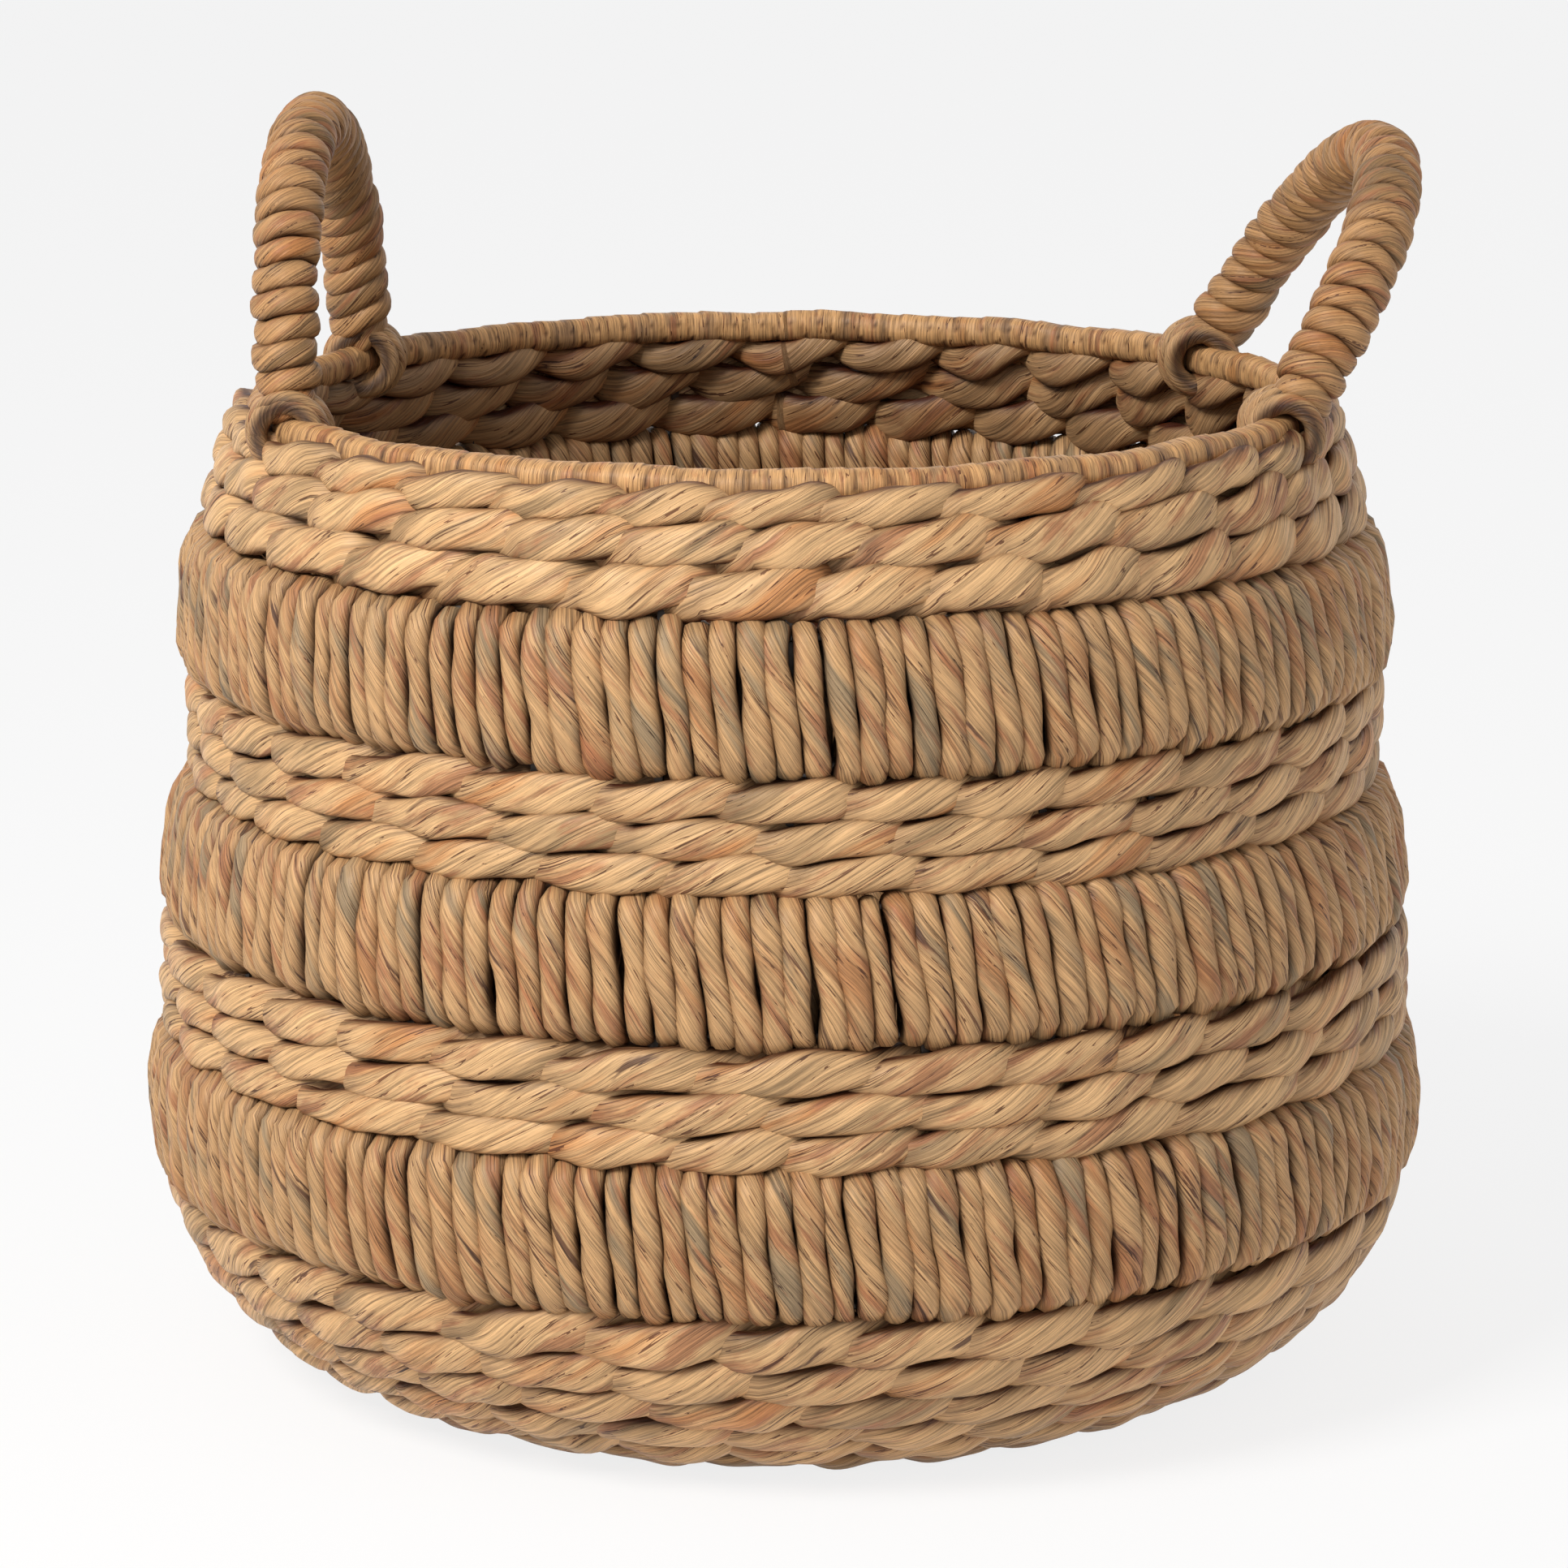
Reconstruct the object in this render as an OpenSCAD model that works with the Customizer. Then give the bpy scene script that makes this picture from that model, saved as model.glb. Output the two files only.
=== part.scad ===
// Round storage basket woven from twisted plant-fibre strands on a wire frame.
// Millimetres. +Z is up, z = 0 is the surface the basket stands on, the origin is under its centre.
// The front is towards -Y. Each handle tilts about the chord that joins its two feet on the rim.

/* [Frame wires] */
// Number of upright wires round the wall
stake_count = 30; // [24:2:36]
// Bearing of the first upright wire, in degrees
stake_turn = 6.5; // [0:0.5:12]
// Diameter of the upright wires and of the ring wires
wire_d = 2.6; // [2:0.1:3]
// Diameter of the wire inside the rim
rim_wire_d = 3.5; // [3:0.1:4]

/* [Weave] */
// Free space between a strand and the wire it passes
weave_gap = 0.15; // [0.1:0.05:0.3]
// Thickness of the strands on the inside of the wall
inner_strand_w = 6; // [5:0.5:6.5]
// Thickness of each face of a wrapped band
band_leg_w = 7.2; // [6:0.1:7.2]
// Free width inside a wrapped band, where its wires lie
band_slot_w = 8.6; // [8.6:0.1:9]
// Thickness of a strand in the base
base_strand_t = 4.6; // [4:0.1:4.6]
// Distance between neighbouring rings of the base
base_pitch = 12; // [11.9:0.1:12]

/* [Rim] */
// Radius of the rim's centre line
rim_r = 176.8; // [176.6:0.1:177]
// Height of the rim's centre line
rim_z = 330.5; // [330.3:0.1:331]
// Outer diameter of the wrapped rim
rim_d = 10.8; // [10:0.1:10.8]

/* [Handles] */
// Half the angle between a handle's two feet, seen from the middle of the basket
foot_half_angle = 27.5; // [26.5:0.1:28]
// Bearing of the right handle's middle
right_bearing = 6; // [5:0.5:7]
// Bearing of the left handle's middle
left_bearing = 175; // [174:0.5:175]
// Resting lean of the right handle, outward from upright
right_lean = 30; // [20:1:32]
// Resting lean of the left handle, outward from upright
left_lean = 2.5; // [0:0.5:10]
// Height of the right handle's centre line above the hinge line
right_rise = 94; // [88:1:96]
// Height of the left handle's centre line above the hinge line
left_rise = 92; // [88:1:96]
// Diameter of the wrapped handle
handle_d = 22; // [20:1:24]
// Diameter of the rope core inside the handle
handle_core_d = 8; // [6:0.5:10]
// Inward slope of the handle's legs
leg_slope = 12; // [8:1:14]
// Inner radius of the loops that hold the handle on the rim
loop_inner_r = 8.6; // [8.6:0.1:9]
// Outer radius of the loops
loop_outer_r = 12.3; // [11.5:0.1:12.4]
// Width of the loops along the rim
loop_w = 8; // [6:0.5:8]

/* [Hidden] */
$fn = 96;
// Strands are spliced end to end: lengths in an outer ring and in an inner ring
outer_lengths = 12;
inner_lengths = 16;
loop_lengths = 8;
arch_lengths = 8;
// Free angle at a splice in a ring, and in the small arcs of the handles
splice = 0.01;
small_splice = 0.02;
wire_r = wire_d / 2;
clear_r = wire_r + weave_gap;
base_wire_z = 6;
hub_r = 16;
sliver = 0.3;
// Height and radius of the upright wires, from the base to the rim
WALL = [
  [6, 152], [18, 170.5], [26.5, 182], [37, 192], [48.5, 199.5], [61, 205],
  [80, 207.3], [114, 207.3], [120, 205.2], [154, 204.7], [206, 196.2], [242, 196.2],
  [289, 191.6], [299, 188.6], [316, 184.2], [320.5, 179.8], [327.5, 179.8]
];
// Each row: height on the wall, strand height, outer thickness, lean of the wall below
// upright, drop of the inner strand, inner strand height, extra inner gap
ROWS = [
  [325.1, 11, 9, 0, 5.6, 10, 1.4],
  [313, 12.8, 7, -15, 4.5, 11.8, 0.4],
  [299, 15.2, 7, -15.5, 2.1, 11, 0.2],
  [234.6, 12, 6, 0, 0, 12, 0],
  [222.6, 11.8, 6, 0, 0, 11.8, 0],
  [211, 11.4, 6, 0, 0, 11.4, 0],
  [148.9, 12.6, 9, 0.8, 0, 12.6, 0],
  [136.6, 12, 9, 0.8, 0, 12, 0],
  [124.6, 12, 9, 0.8, 0, 12, 0],
  [60, 13.8, 7, 16, 0.6, 9, 0.9],
  [48.5, 13.8, 7, 28, 0, 11, 0.9],
  [37, 14, 7, 38.5, 0, 11, 0.9],
  [26.5, 14, 7, 48.5, 0, 11, 0.9],
  [18, 13.4, 7, 55, 0, 11, 0.9],
  [10, 10.6, 6, 57, 0, 8, 0.4]
];
// Each band: height of its middle, its height, its lean
BANDS = [[265.6, 49.2, -5.6], [180.3, 50, -9.3], [92.8, 50.8, 0]];
// The ring wires of a band lie this far above and below its middle
band_wire_dz = 20;
weld = 0.2;
base_rows = 11;
first_base_r = 26;
base_top_z = 2 * base_wire_z - base_strand_t / 2;
hinge_r = rim_r * cos(foot_half_angle);
half_span = rim_r * sin(foot_half_angle);
sleeve_cut_r = 15;
joint_gap = 0.02;
notch_r = loop_outer_r + 0.5;
notch_w = loop_w + 1;

function wall_r(z) = lookup(z, WALL);

// A strand's cross-section: w thick, h tall, with round ends
module strand_section(w, h) {
  square([w, h - w], center = true);
  for (s = [-1, 1]) translate([0, s * (h - w) / 2]) circle(d = w);
}

// A ring of equal lengths with the same section, laid end to end
module spliced_ring(lengths, gap = splice) {
  for (k = [0:lengths - 1]) rotate([0, 0, k * 360 / lengths])
    rotate_extrude(angle = 360 / lengths - gap) children();
}

// One ring of strand whose section leans with the wall
module strand_ring(r, z, w, h, lean, lengths) {
  spliced_ring(lengths) translate([r, z]) rotate(-lean) strand_section(w, h);
}

// A ring of strand set off from the wall line, outward when off is positive
module offset_ring(z, off, w, h, lean, lengths) {
  strand_ring(wall_r(z) + off * cos(lean), z - off * sin(lean), w, h, lean, lengths);
}

module wire_ring(r, z, d) {
  rotate_extrude() translate([r, z]) circle(d = d);
}

// One pair of twined strands: the outer one and the inner one
module row(i) {
  z = ROWS[i][0];
  w = ROWS[i][2];
  lean = ROWS[i][3];
  off_in = clear_r + inner_strand_w / 2 + ROWS[i][6];
  color("burlywood") {
    offset_ring(z, clear_r + w / 2, w, ROWS[i][1] - sliver, lean, outer_lengths);
    offset_ring(
      z - ROWS[i][4], -off_in, inner_strand_w, ROWS[i][5] - sliver, lean, inner_lengths
    );
  }
}

// The top row is notched where the handle loops pass
module top_row() {
  difference() {
    row(0);
    for (bearing = [left_bearing, right_bearing], side = [-1, 1])
      at_foot(bearing, side) cylinder(r = notch_r, h = notch_w, center = true);
  }
}

// A band: one strand coiled round two ring wires, as an outer and an inner face
module band(i) {
  z = BANDS[i][0];
  h = BANDS[i][1] - sliver;
  lean = BANDS[i][2];
  slot_mid = wire_r - 0.1;
  outer = slot_mid + (band_slot_w + band_leg_w) / 2;
  inner = slot_mid - (band_slot_w + inner_strand_w) / 2;
  color("tan") {
    offset_ring(z, outer, band_leg_w, h, lean, outer_lengths);
    offset_ring(z, inner, inner_strand_w, h, lean, inner_lengths);
  }
}

// A ring wire welded to the outside of the upright wires; side is 1 above, -1 below
module band_wire(i, side) {
  z = BANDS[i][0] + side * band_wire_dz;
  color("dimgray") wire_ring(wall_r(z) + wire_d - weld, z, wire_d);
}

// Direction of travel along the points at point i, as a unit vector
function heading(p, i) =
  let(a = p[max(i - 1, 0)], b = p[min(i + 1, len(p) - 1)]) (b - a) / norm(b - a);

// The points moved sideways by off, to the left of the direction of travel
function beside(p, off) =
  [for (i = [0:len(p) - 1]) p[i] + off * [-heading(p, i)[1], heading(p, i)[0]]];

// One upright: a square-drawn wire, a spoke of the base bent up into the wall
module stake() {
  line = concat([[hub_r, base_wire_z]], [for (p = WALL) [p[1], p[0]]]);
  far_side = beside(line, -wire_r);
  rotate([90, 0, 0]) linear_extrude(wire_d, center = true)
    polygon(concat(beside(line, wire_r), [for (i = [len(line) - 1:-1:0]) far_side[i]]));
}

module stakes() {
  color("dimgray")
    for (i = [0:stake_count - 1]) rotate([0, 0, stake_turn + i * 360 / stake_count]) stake();
}

module hub_ring() {
  color("dimgray") wire_ring(hub_r, base_wire_z, wire_d);
}

module rim_wire() {
  color("dimgray") wire_ring(rim_r, rim_z, rim_wire_d);
}

// The flat strip wound round the rim wire and the tops of the uprights
module rim_wrap() {
  wall_t = 1.6;
  color("peru") spliced_ring(inner_lengths) translate([rim_r, rim_z]) difference() {
    circle(d = rim_d);
    circle(d = rim_d - 2 * wall_t);
  }
}

// One ring of the base: a strand under the spokes and one over them
module base_row(i) {
  r = first_base_r + i * base_pitch;
  w = base_pitch - sliver;
  color("burlywood") for (z = [base_strand_t / 2, base_top_z])
    rotate_extrude() translate([r, z]) rotate(90) strand_section(base_strand_t, w);
}

// The knot of strands at the middle of the base
module base_centre() {
  r = first_base_r - base_pitch / 2 - sliver;
  color("burlywood") {
    cylinder(r = r, h = base_strand_t);
    cylinder(r = hub_r - 2 * wire_d, h = 2 * base_wire_z);
    translate([0, 0, base_top_z - base_strand_t / 2]) cylinder(r = r, h = base_strand_t);
  }
}

// Places children at a handle: local x points outward, y along the hinge line, z up
module at_handle(bearing, lean) {
  rotate([0, 0, bearing]) translate([hinge_r, 0, rim_z]) rotate([0, lean, 0]) children();
}

// Places children at one foot, with their z along the hinge line
module at_foot(bearing, side) {
  at_handle(bearing, 0) translate([0, side * half_span, 0]) rotate([90, 0, 0]) children();
}

// A tube along the handle's centre line, an arch and two legs that meet end to end.
// Nothing of it is nearer to the hinge line than cut_r.
module handle_tube(rise, d, hole_d, cut_r) {
  arch_r = (half_span * cos(leg_slope) - rise * sin(leg_slope)) / (1 - sin(leg_slope));
  leg = half_span * sin(leg_slope) + (rise - arch_r) * cos(leg_slope);
  part = (180 - 2 * leg_slope) / arch_lengths;
  translate([0, 0, rise - arch_r]) rotate([90, 0, 90])
    for (k = [0:arch_lengths - 1]) rotate([0, 0, leg_slope + k * part])
      rotate_extrude(angle = part - small_splice) translate([arch_r, 0]) tube_section(d, hole_d);
  for (side = [-1, 1]) difference() {
    translate([0, side * half_span, 0]) rotate([side * leg_slope, 0, 0])
      linear_extrude(leg - joint_gap) tube_section(d, hole_d);
    rotate([90, 0, 0]) cylinder(r = cut_r, h = 3 * half_span, center = true);
  }
}

module tube_section(d, hole_d) {
  if (hole_d > 0) difference() {
    circle(d = d);
    circle(d = hole_d);
  } else circle(d = d);
}

// The rope inside a handle, which reaches down to the loops
module handle_core(bearing, lean, rise) {
  color("sienna") at_handle(bearing, lean)
    handle_tube(rise, handle_core_d, 0, loop_outer_r + 0.05);
}

// The strand wound round the rope
module handle_wrap(bearing, lean, rise) {
  color("tan") at_handle(bearing, lean)
    handle_tube(rise, handle_d, handle_core_d + 0.1, sleeve_cut_r);
}

// The lashing that holds one foot on the rim
module loop(bearing, side) {
  color("peru") at_foot(bearing, side) spliced_ring(loop_lengths, 10 * splice)
    translate([loop_inner_r, -loop_w / 2]) square([loop_outer_r - loop_inner_r, loop_w]);
}

stakes();
hub_ring();
rim_wire();
rim_wrap();
band_wire(0, 1);  // band_1_upper_wire
band_wire(0, -1);  // band_1_lower_wire
band_wire(1, 1);  // band_2_upper_wire
band_wire(1, -1);  // band_2_lower_wire
band_wire(2, 1);  // band_3_upper_wire
band_wire(2, -1);  // band_3_lower_wire
top_row();  // row_01
row(1);  // row_02
row(2);  // row_03
row(3);  // row_04
row(4);  // row_05
row(5);  // row_06
row(6);  // row_07
row(7);  // row_08
row(8);  // row_09
row(9);  // row_10
row(10);  // row_11
row(11);  // row_12
row(12);  // row_13
row(13);  // row_14
row(14);  // row_15
band(0);  // band_1
band(1);  // band_2
band(2);  // band_3
base_row(0);  // base_row_01
base_row(1);  // base_row_02
base_row(2);  // base_row_03
base_row(3);  // base_row_04
base_row(4);  // base_row_05
base_row(5);  // base_row_06
base_row(6);  // base_row_07
base_row(7);  // base_row_08
base_row(8);  // base_row_09
base_row(9);  // base_row_10
base_row(10);  // base_row_11
base_centre();
handle_core(left_bearing, left_lean, left_rise);  // left_handle_core
handle_wrap(left_bearing, left_lean, left_rise);  // left_handle_wrap
loop(left_bearing, 1);  // left_front_loop
loop(left_bearing, -1);  // left_rear_loop
handle_core(right_bearing, right_lean, right_rise);  // right_handle_core
handle_wrap(right_bearing, right_lean, right_rise);  // right_handle_wrap
loop(right_bearing, -1);  // right_front_loop
loop(right_bearing, 1);  // right_rear_loop
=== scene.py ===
# %% [markdown]
# # A woven storage basket
# The real basket is made of one material, dried water-hyacinth stalk twisted into a soft strand.
# The strand is used four ways: twined in pairs round the upright wires, coiled round pairs of ring
# wires to make raised bands, split flat to wrap the rim, and wound in close turns for the handles.
# So this lesson makes one kind of tube again and again and bends it along different paths.

import math

import bmesh
import bpy
import numpy as np
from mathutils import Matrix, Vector


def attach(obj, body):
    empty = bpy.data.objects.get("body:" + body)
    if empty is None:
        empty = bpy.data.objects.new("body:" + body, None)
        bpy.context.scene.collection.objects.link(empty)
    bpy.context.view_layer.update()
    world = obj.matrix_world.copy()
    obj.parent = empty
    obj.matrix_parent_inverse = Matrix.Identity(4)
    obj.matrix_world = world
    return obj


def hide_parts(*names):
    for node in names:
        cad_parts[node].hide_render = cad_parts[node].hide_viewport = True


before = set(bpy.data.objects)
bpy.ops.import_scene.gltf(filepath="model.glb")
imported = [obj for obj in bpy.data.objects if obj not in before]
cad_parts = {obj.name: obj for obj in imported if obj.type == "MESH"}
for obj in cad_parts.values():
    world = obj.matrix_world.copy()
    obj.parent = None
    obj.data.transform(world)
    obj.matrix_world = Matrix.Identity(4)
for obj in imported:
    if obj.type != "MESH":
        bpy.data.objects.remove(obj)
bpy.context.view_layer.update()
MM = 0.001

# %% [markdown]
# ## Camera
# The basket is seen from the front, a little from above, through a long lens, so its rows look
# almost parallel. The camera stands two metres away.

# %% Camera
CAMERA_BACK = 2.075
CAMERA_HEIGHT = 0.6525
CAMERA_DIP = math.radians(12.4)
CAMERA_LENS = 141.1

camera = bpy.data.objects.new("camera", bpy.data.cameras.new("camera"))
camera.data.lens = CAMERA_LENS
camera.data.sensor_width = 36
camera.location = (0, -CAMERA_BACK, CAMERA_HEIGHT)
camera.rotation_euler = (math.radians(90) - CAMERA_DIP, 0, 0)
camera.data.clip_start, camera.data.clip_end = 0.05, 50
bpy.context.scene.collection.objects.link(camera)
bpy.context.scene.camera = camera
bpy.context.scene.view_settings.view_transform = "Standard"
print("camera", tuple(camera.location))

# %% [markdown]
# ## The wall line
# Everything in the wall follows one curve, the line of an upright wire from the base to the rim.
# The wall's numbers are the construction's, in millimetres. The strands of a row are a little thicker
# here than the construction's rings, so that neighbours press on each other as woven ones do.

# %% The wall line and its rows
WALL_Z = [6, 18, 26.5, 37, 48.5, 61, 80, 114, 120, 154, 206, 242, 289, 299, 316, 320.5, 327.5]
WALL_R = [
    152, 170.5, 182, 192, 199.5, 205, 207.3, 207.3, 205.2, 204.7, 196.2, 196.2,
    191.6, 188.6, 184.2, 179.8, 179.8,
]
# Height on the wall, strand height, outer thickness, lean, drop of the inner side
ROWS = {
    "row_01": (325.1, 12.0, 9, 0, 5.6),
    "row_02": (313.0, 14.2, 8, -15, 4.5),
    "row_03": (299.0, 15.6, 8, -15.5, 2.1),
    "row_04": (234.6, 13.2, 7.5, 0, 0),
    "row_05": (222.6, 12.8, 7.5, 0, 0),
    "row_06": (211.0, 12.6, 7.5, 0, 0),
    "row_07": (148.9, 13.6, 9.5, 0.8, 0),
    "row_08": (136.6, 13.0, 9.5, 0.8, 0),
    "row_09": (124.6, 13.2, 9.5, 0.8, 0),
    "row_10": (61.0, 15.8, 8, 16, 0),
    "row_11": (48.5, 15.8, 8, 28, 0),
    "row_12": (37.0, 15.8, 8, 38.5, 0),
    "row_13": (26.5, 15.6, 8, 48.5, 0),
    "row_14": (18.0, 14.8, 8, 55, 0),
    "row_15": (10.0, 11.4, 6, 57, 0),
}
STAKES = 30
STAKE_TURN = math.radians(6.5)
STAKE_CLEAR = 1.45
INNER_W = 6.0


def wall_radius(z):
    """Radius of the wall line at height z, both in millimetres."""
    return float(np.interp(z, WALL_Z, WALL_R))


print("wall radius at the bands:", wall_radius(266), wall_radius(180.3), wall_radius(92.8))

# %% [markdown]
# ## One tube for every strand
# A flat grid rolled into a ring gives clean quads. Each of its points has two angles: how far along
# the strand it is, and where it lies round the strand's skin. Those two angles are all that is
# needed to lay the same ring along any path, so a path is a small function and the mesh work is
# done once. Rolling a grid is much quicker than spinning a circle through thousands of steps.

# %% The blank tube
BLANK_R = 2.0
WELD = 1e-5
SEAM_SLACK = 1e-4


def blank_tube(rings, sides, closed):
    """A ring-shaped or half-ring tube, with every point's two angles."""
    bm = bmesh.new()
    bmesh.ops.create_grid(bm, x_segments=rings, y_segments=sides, size=math.pi)
    sweep = 2 * math.pi if closed else math.pi
    for vert in bm.verts:
        along = (vert.co.x + math.pi) / (2 * math.pi) * sweep
        reach = BLANK_R + math.cos(vert.co.y)
        vert.co = (reach * math.cos(along), reach * math.sin(along), math.sin(vert.co.y))
    bmesh.ops.remove_doubles(bm, verts=bm.verts[:], dist=WELD)
    if not closed:
        rim = [e for e in bm.edges if e.is_boundary]
        bmesh.ops.holes_fill(bm, edges=rim, sides=0)
    bmesh.ops.recalc_face_normals(bm, faces=bm.faces[:])
    co = np.array([v.co[:] for v in bm.verts])
    along = np.arctan2(co[:, 1], co[:, 0])
    if closed:
        along = np.mod(along, 2 * np.pi)
        along[along > 2 * np.pi - SEAM_SLACK] = 0
    else:
        # The last ring lies on the seam of the angle and must not jump to the other end
        along = np.abs(along)
    around = np.arctan2(co[:, 2], np.hypot(co[:, 0], co[:, 1]) - BLANK_R)
    return bm, along / sweep, around


blank = blank_tube(12, 8, True)[0]
print("blank tube:", len(blank.verts), "points,", len(blank.faces), "faces")
blank.free()

# %% [markdown]
# The twist of the strand is what the eye reads first. Each point also keeps where it would lie on
# the strand before it was twisted, as an attribute called fibre, so that the material can draw long
# fibres that really run round the strand. A second attribute, tone, carries the turn's own tone
# and how deep in a crease the point lies, which the material turns into painted shade.


# %% Laying tubes on a path
# A step along the strand for finding its direction, as a share of its length
PATH_STEP = 2e-5
# A strand's section is between an oval (2) and a box (large)
SQUARENESS = 2.6
# Where a fibre lies on a strand's skin is measured on a strand of this radius, in mm
SKIN_R = 5.0


def unit(v):
    return v / np.linalg.norm(v, axis=1, keepdims=True)


def lay_tube(blanks, path, size, twist_lead, seed, start=0.0):
    """Bends a blank tube along path(u) -> centre, outward, length; size gives its section."""
    bm, u, v = blanks
    centre, out_dir = path(u)
    ahead, _ = path(u + PATH_STEP)
    behind, _ = path(u - PATH_STEP)
    tangent = unit(ahead - behind)
    e1 = unit(out_dir - tangent * np.sum(out_dir * tangent, axis=1, keepdims=True))
    e2 = np.cross(e1, tangent)
    # Besides the section, size gives each point's tone and the amount of painted shade for its crease
    half_1, half_2, length_mm, tone, crease_shade = size(u, v)
    twist = 2 * np.pi * length_mm / twist_lead
    skin = v - twist
    lobes = (
        1
        + 0.030 * np.cos(2 * skin + seed)
        + 0.028 * np.cos(3 * skin + 2.1 * seed)
        + 0.018 * np.cos(5 * skin + 0.7 * seed + 0.02 * length_mm)
    )
    # A slightly squared section fills the weave better than a plain oval
    c, s = np.cos(v), np.sin(v)
    square = (np.abs(c) ** SQUARENESS + np.abs(s) ** SQUARENESS) ** (-1 / SQUARENESS)
    offset_1 = (half_1 * c * square * lobes)[:, None] * e1
    offset_2 = (half_2 * s * square * lobes)[:, None] * e2
    co = (centre + offset_1 + offset_2) * MM
    fibre = np.stack([length_mm + start, SKIN_R * np.cos(skin), SKIN_R * np.sin(skin)], axis=1)
    # The last array holds the tone, then the amount of painted shade
    return bm, co, fibre, np.stack([tone, crease_shade, np.zeros_like(tone)], axis=1)


def finish_piece(name, tubes, material, body, node):
    """Joins laid tubes into one object that stands for a CAD node."""
    mesh = bpy.data.meshes.new(name)
    whole = bmesh.new()
    for bm, co, _, _ in tubes:
        for vert, place in zip(bm.verts, co):
            vert.co = place
        if bm.calc_volume(signed=True) < 0:
            bmesh.ops.reverse_faces(bm, faces=bm.faces[:])
        part = bpy.data.meshes.new("part")
        bm.to_mesh(part)
        whole.from_mesh(part)
        bpy.data.meshes.remove(part)
        bm.free()
    whole.to_mesh(mesh)
    whole.free()
    for key, index in (("fibre", 2), ("tone", 3)):
        layer = mesh.attributes.new(key, "FLOAT_VECTOR", "POINT")
        values = np.concatenate([t[index] for t in tubes]).astype(np.float32)
        layer.data.foreach_set("vector", values.ravel())
    mesh.shade_smooth()
    piece = bpy.data.objects.new(name, mesh)
    bpy.context.scene.collection.objects.link(piece)
    mesh.materials.append(material)
    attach(piece, body)
    if node:
        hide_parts(*([node] if isinstance(node, str) else node))
    print(name, len(mesh.vertices), "points")
    return piece


# %% [markdown]
# ## Fibre material
# Dried stalk is pale straw with golden, greenish-grey and red-brown stretches, fine dark lines
# between its fibres, and a faint silky shine. All of it is stretched along the fibres. The same
# recipe, with other colours, serves the weave, the bands, the rim and the handles.


# %% Material helper
def add_node(tree, kind, inputs=(), **settings):
    """Adds a shader node; inputs maps a socket's name or number to a value or another socket."""
    made = tree.nodes.new(kind)
    for key, value in settings.items():
        setattr(made, key, value)
    for key, value in dict(inputs).items():
        if isinstance(value, bpy.types.NodeSocket):
            tree.links.new(value, made.inputs[key])
        else:
            made.inputs[key].default_value = value
    return made


def ramp(tree, source, stops):
    """A colour ramp with (position, colour) stops; a plain number is a grey."""
    made = add_node(tree, "ShaderNodeValToRGB", {"Fac": source})
    band = made.color_ramp
    while len(band.elements) < len(stops):
        band.elements.new(0.5)
    for element, (place, colour) in zip(band.elements, stops):
        element.position = place
        if isinstance(colour, (int, float)):
            colour = (colour, colour, colour)
        element.color = (*colour, 1)
    return made.outputs["Color"]


def blend_colour(tree, how, amount, first, second):
    made = add_node(tree, "ShaderNodeMix", data_type="RGBA", blend_type=how)
    for number, value in ((0, amount), (6, first), (7, second)):
        if isinstance(value, bpy.types.NodeSocket):
            tree.links.new(value, made.inputs[number])
        else:
            made.inputs[number].default_value = value
    return made.outputs[2]


def maths(tree, how, first, second=0.0):
    return add_node(tree, "ShaderNodeMath", {0: first, 1: second}, operation=how).outputs[0]


# %% Fibre material
def fibre_noise(tree, coords, along, across, detail=2.0, rough=0.5):
    """Noise stretched along the fibres, with its sizes in features per millimetre."""
    scaled = add_node(
        tree,
        "ShaderNodeVectorMath",
        {0: coords, 1: (along, across, across)},
        operation="MULTIPLY",
    )
    noise = add_node(
        tree,
        "ShaderNodeTexNoise",
        {"Vector": scaled.outputs[0], "Scale": 1.0, "Detail": detail, "Roughness": rough},
    )
    return noise.outputs["Fac"]


def srgb(red, green, blue):
    """A colour written as it looks on screen, turned into the linear light that nodes use."""
    return tuple(((c + 0.055) / 1.055) ** 2.4 if c > 0.04 else c / 12.92 for c in (red, green, blue))


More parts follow.
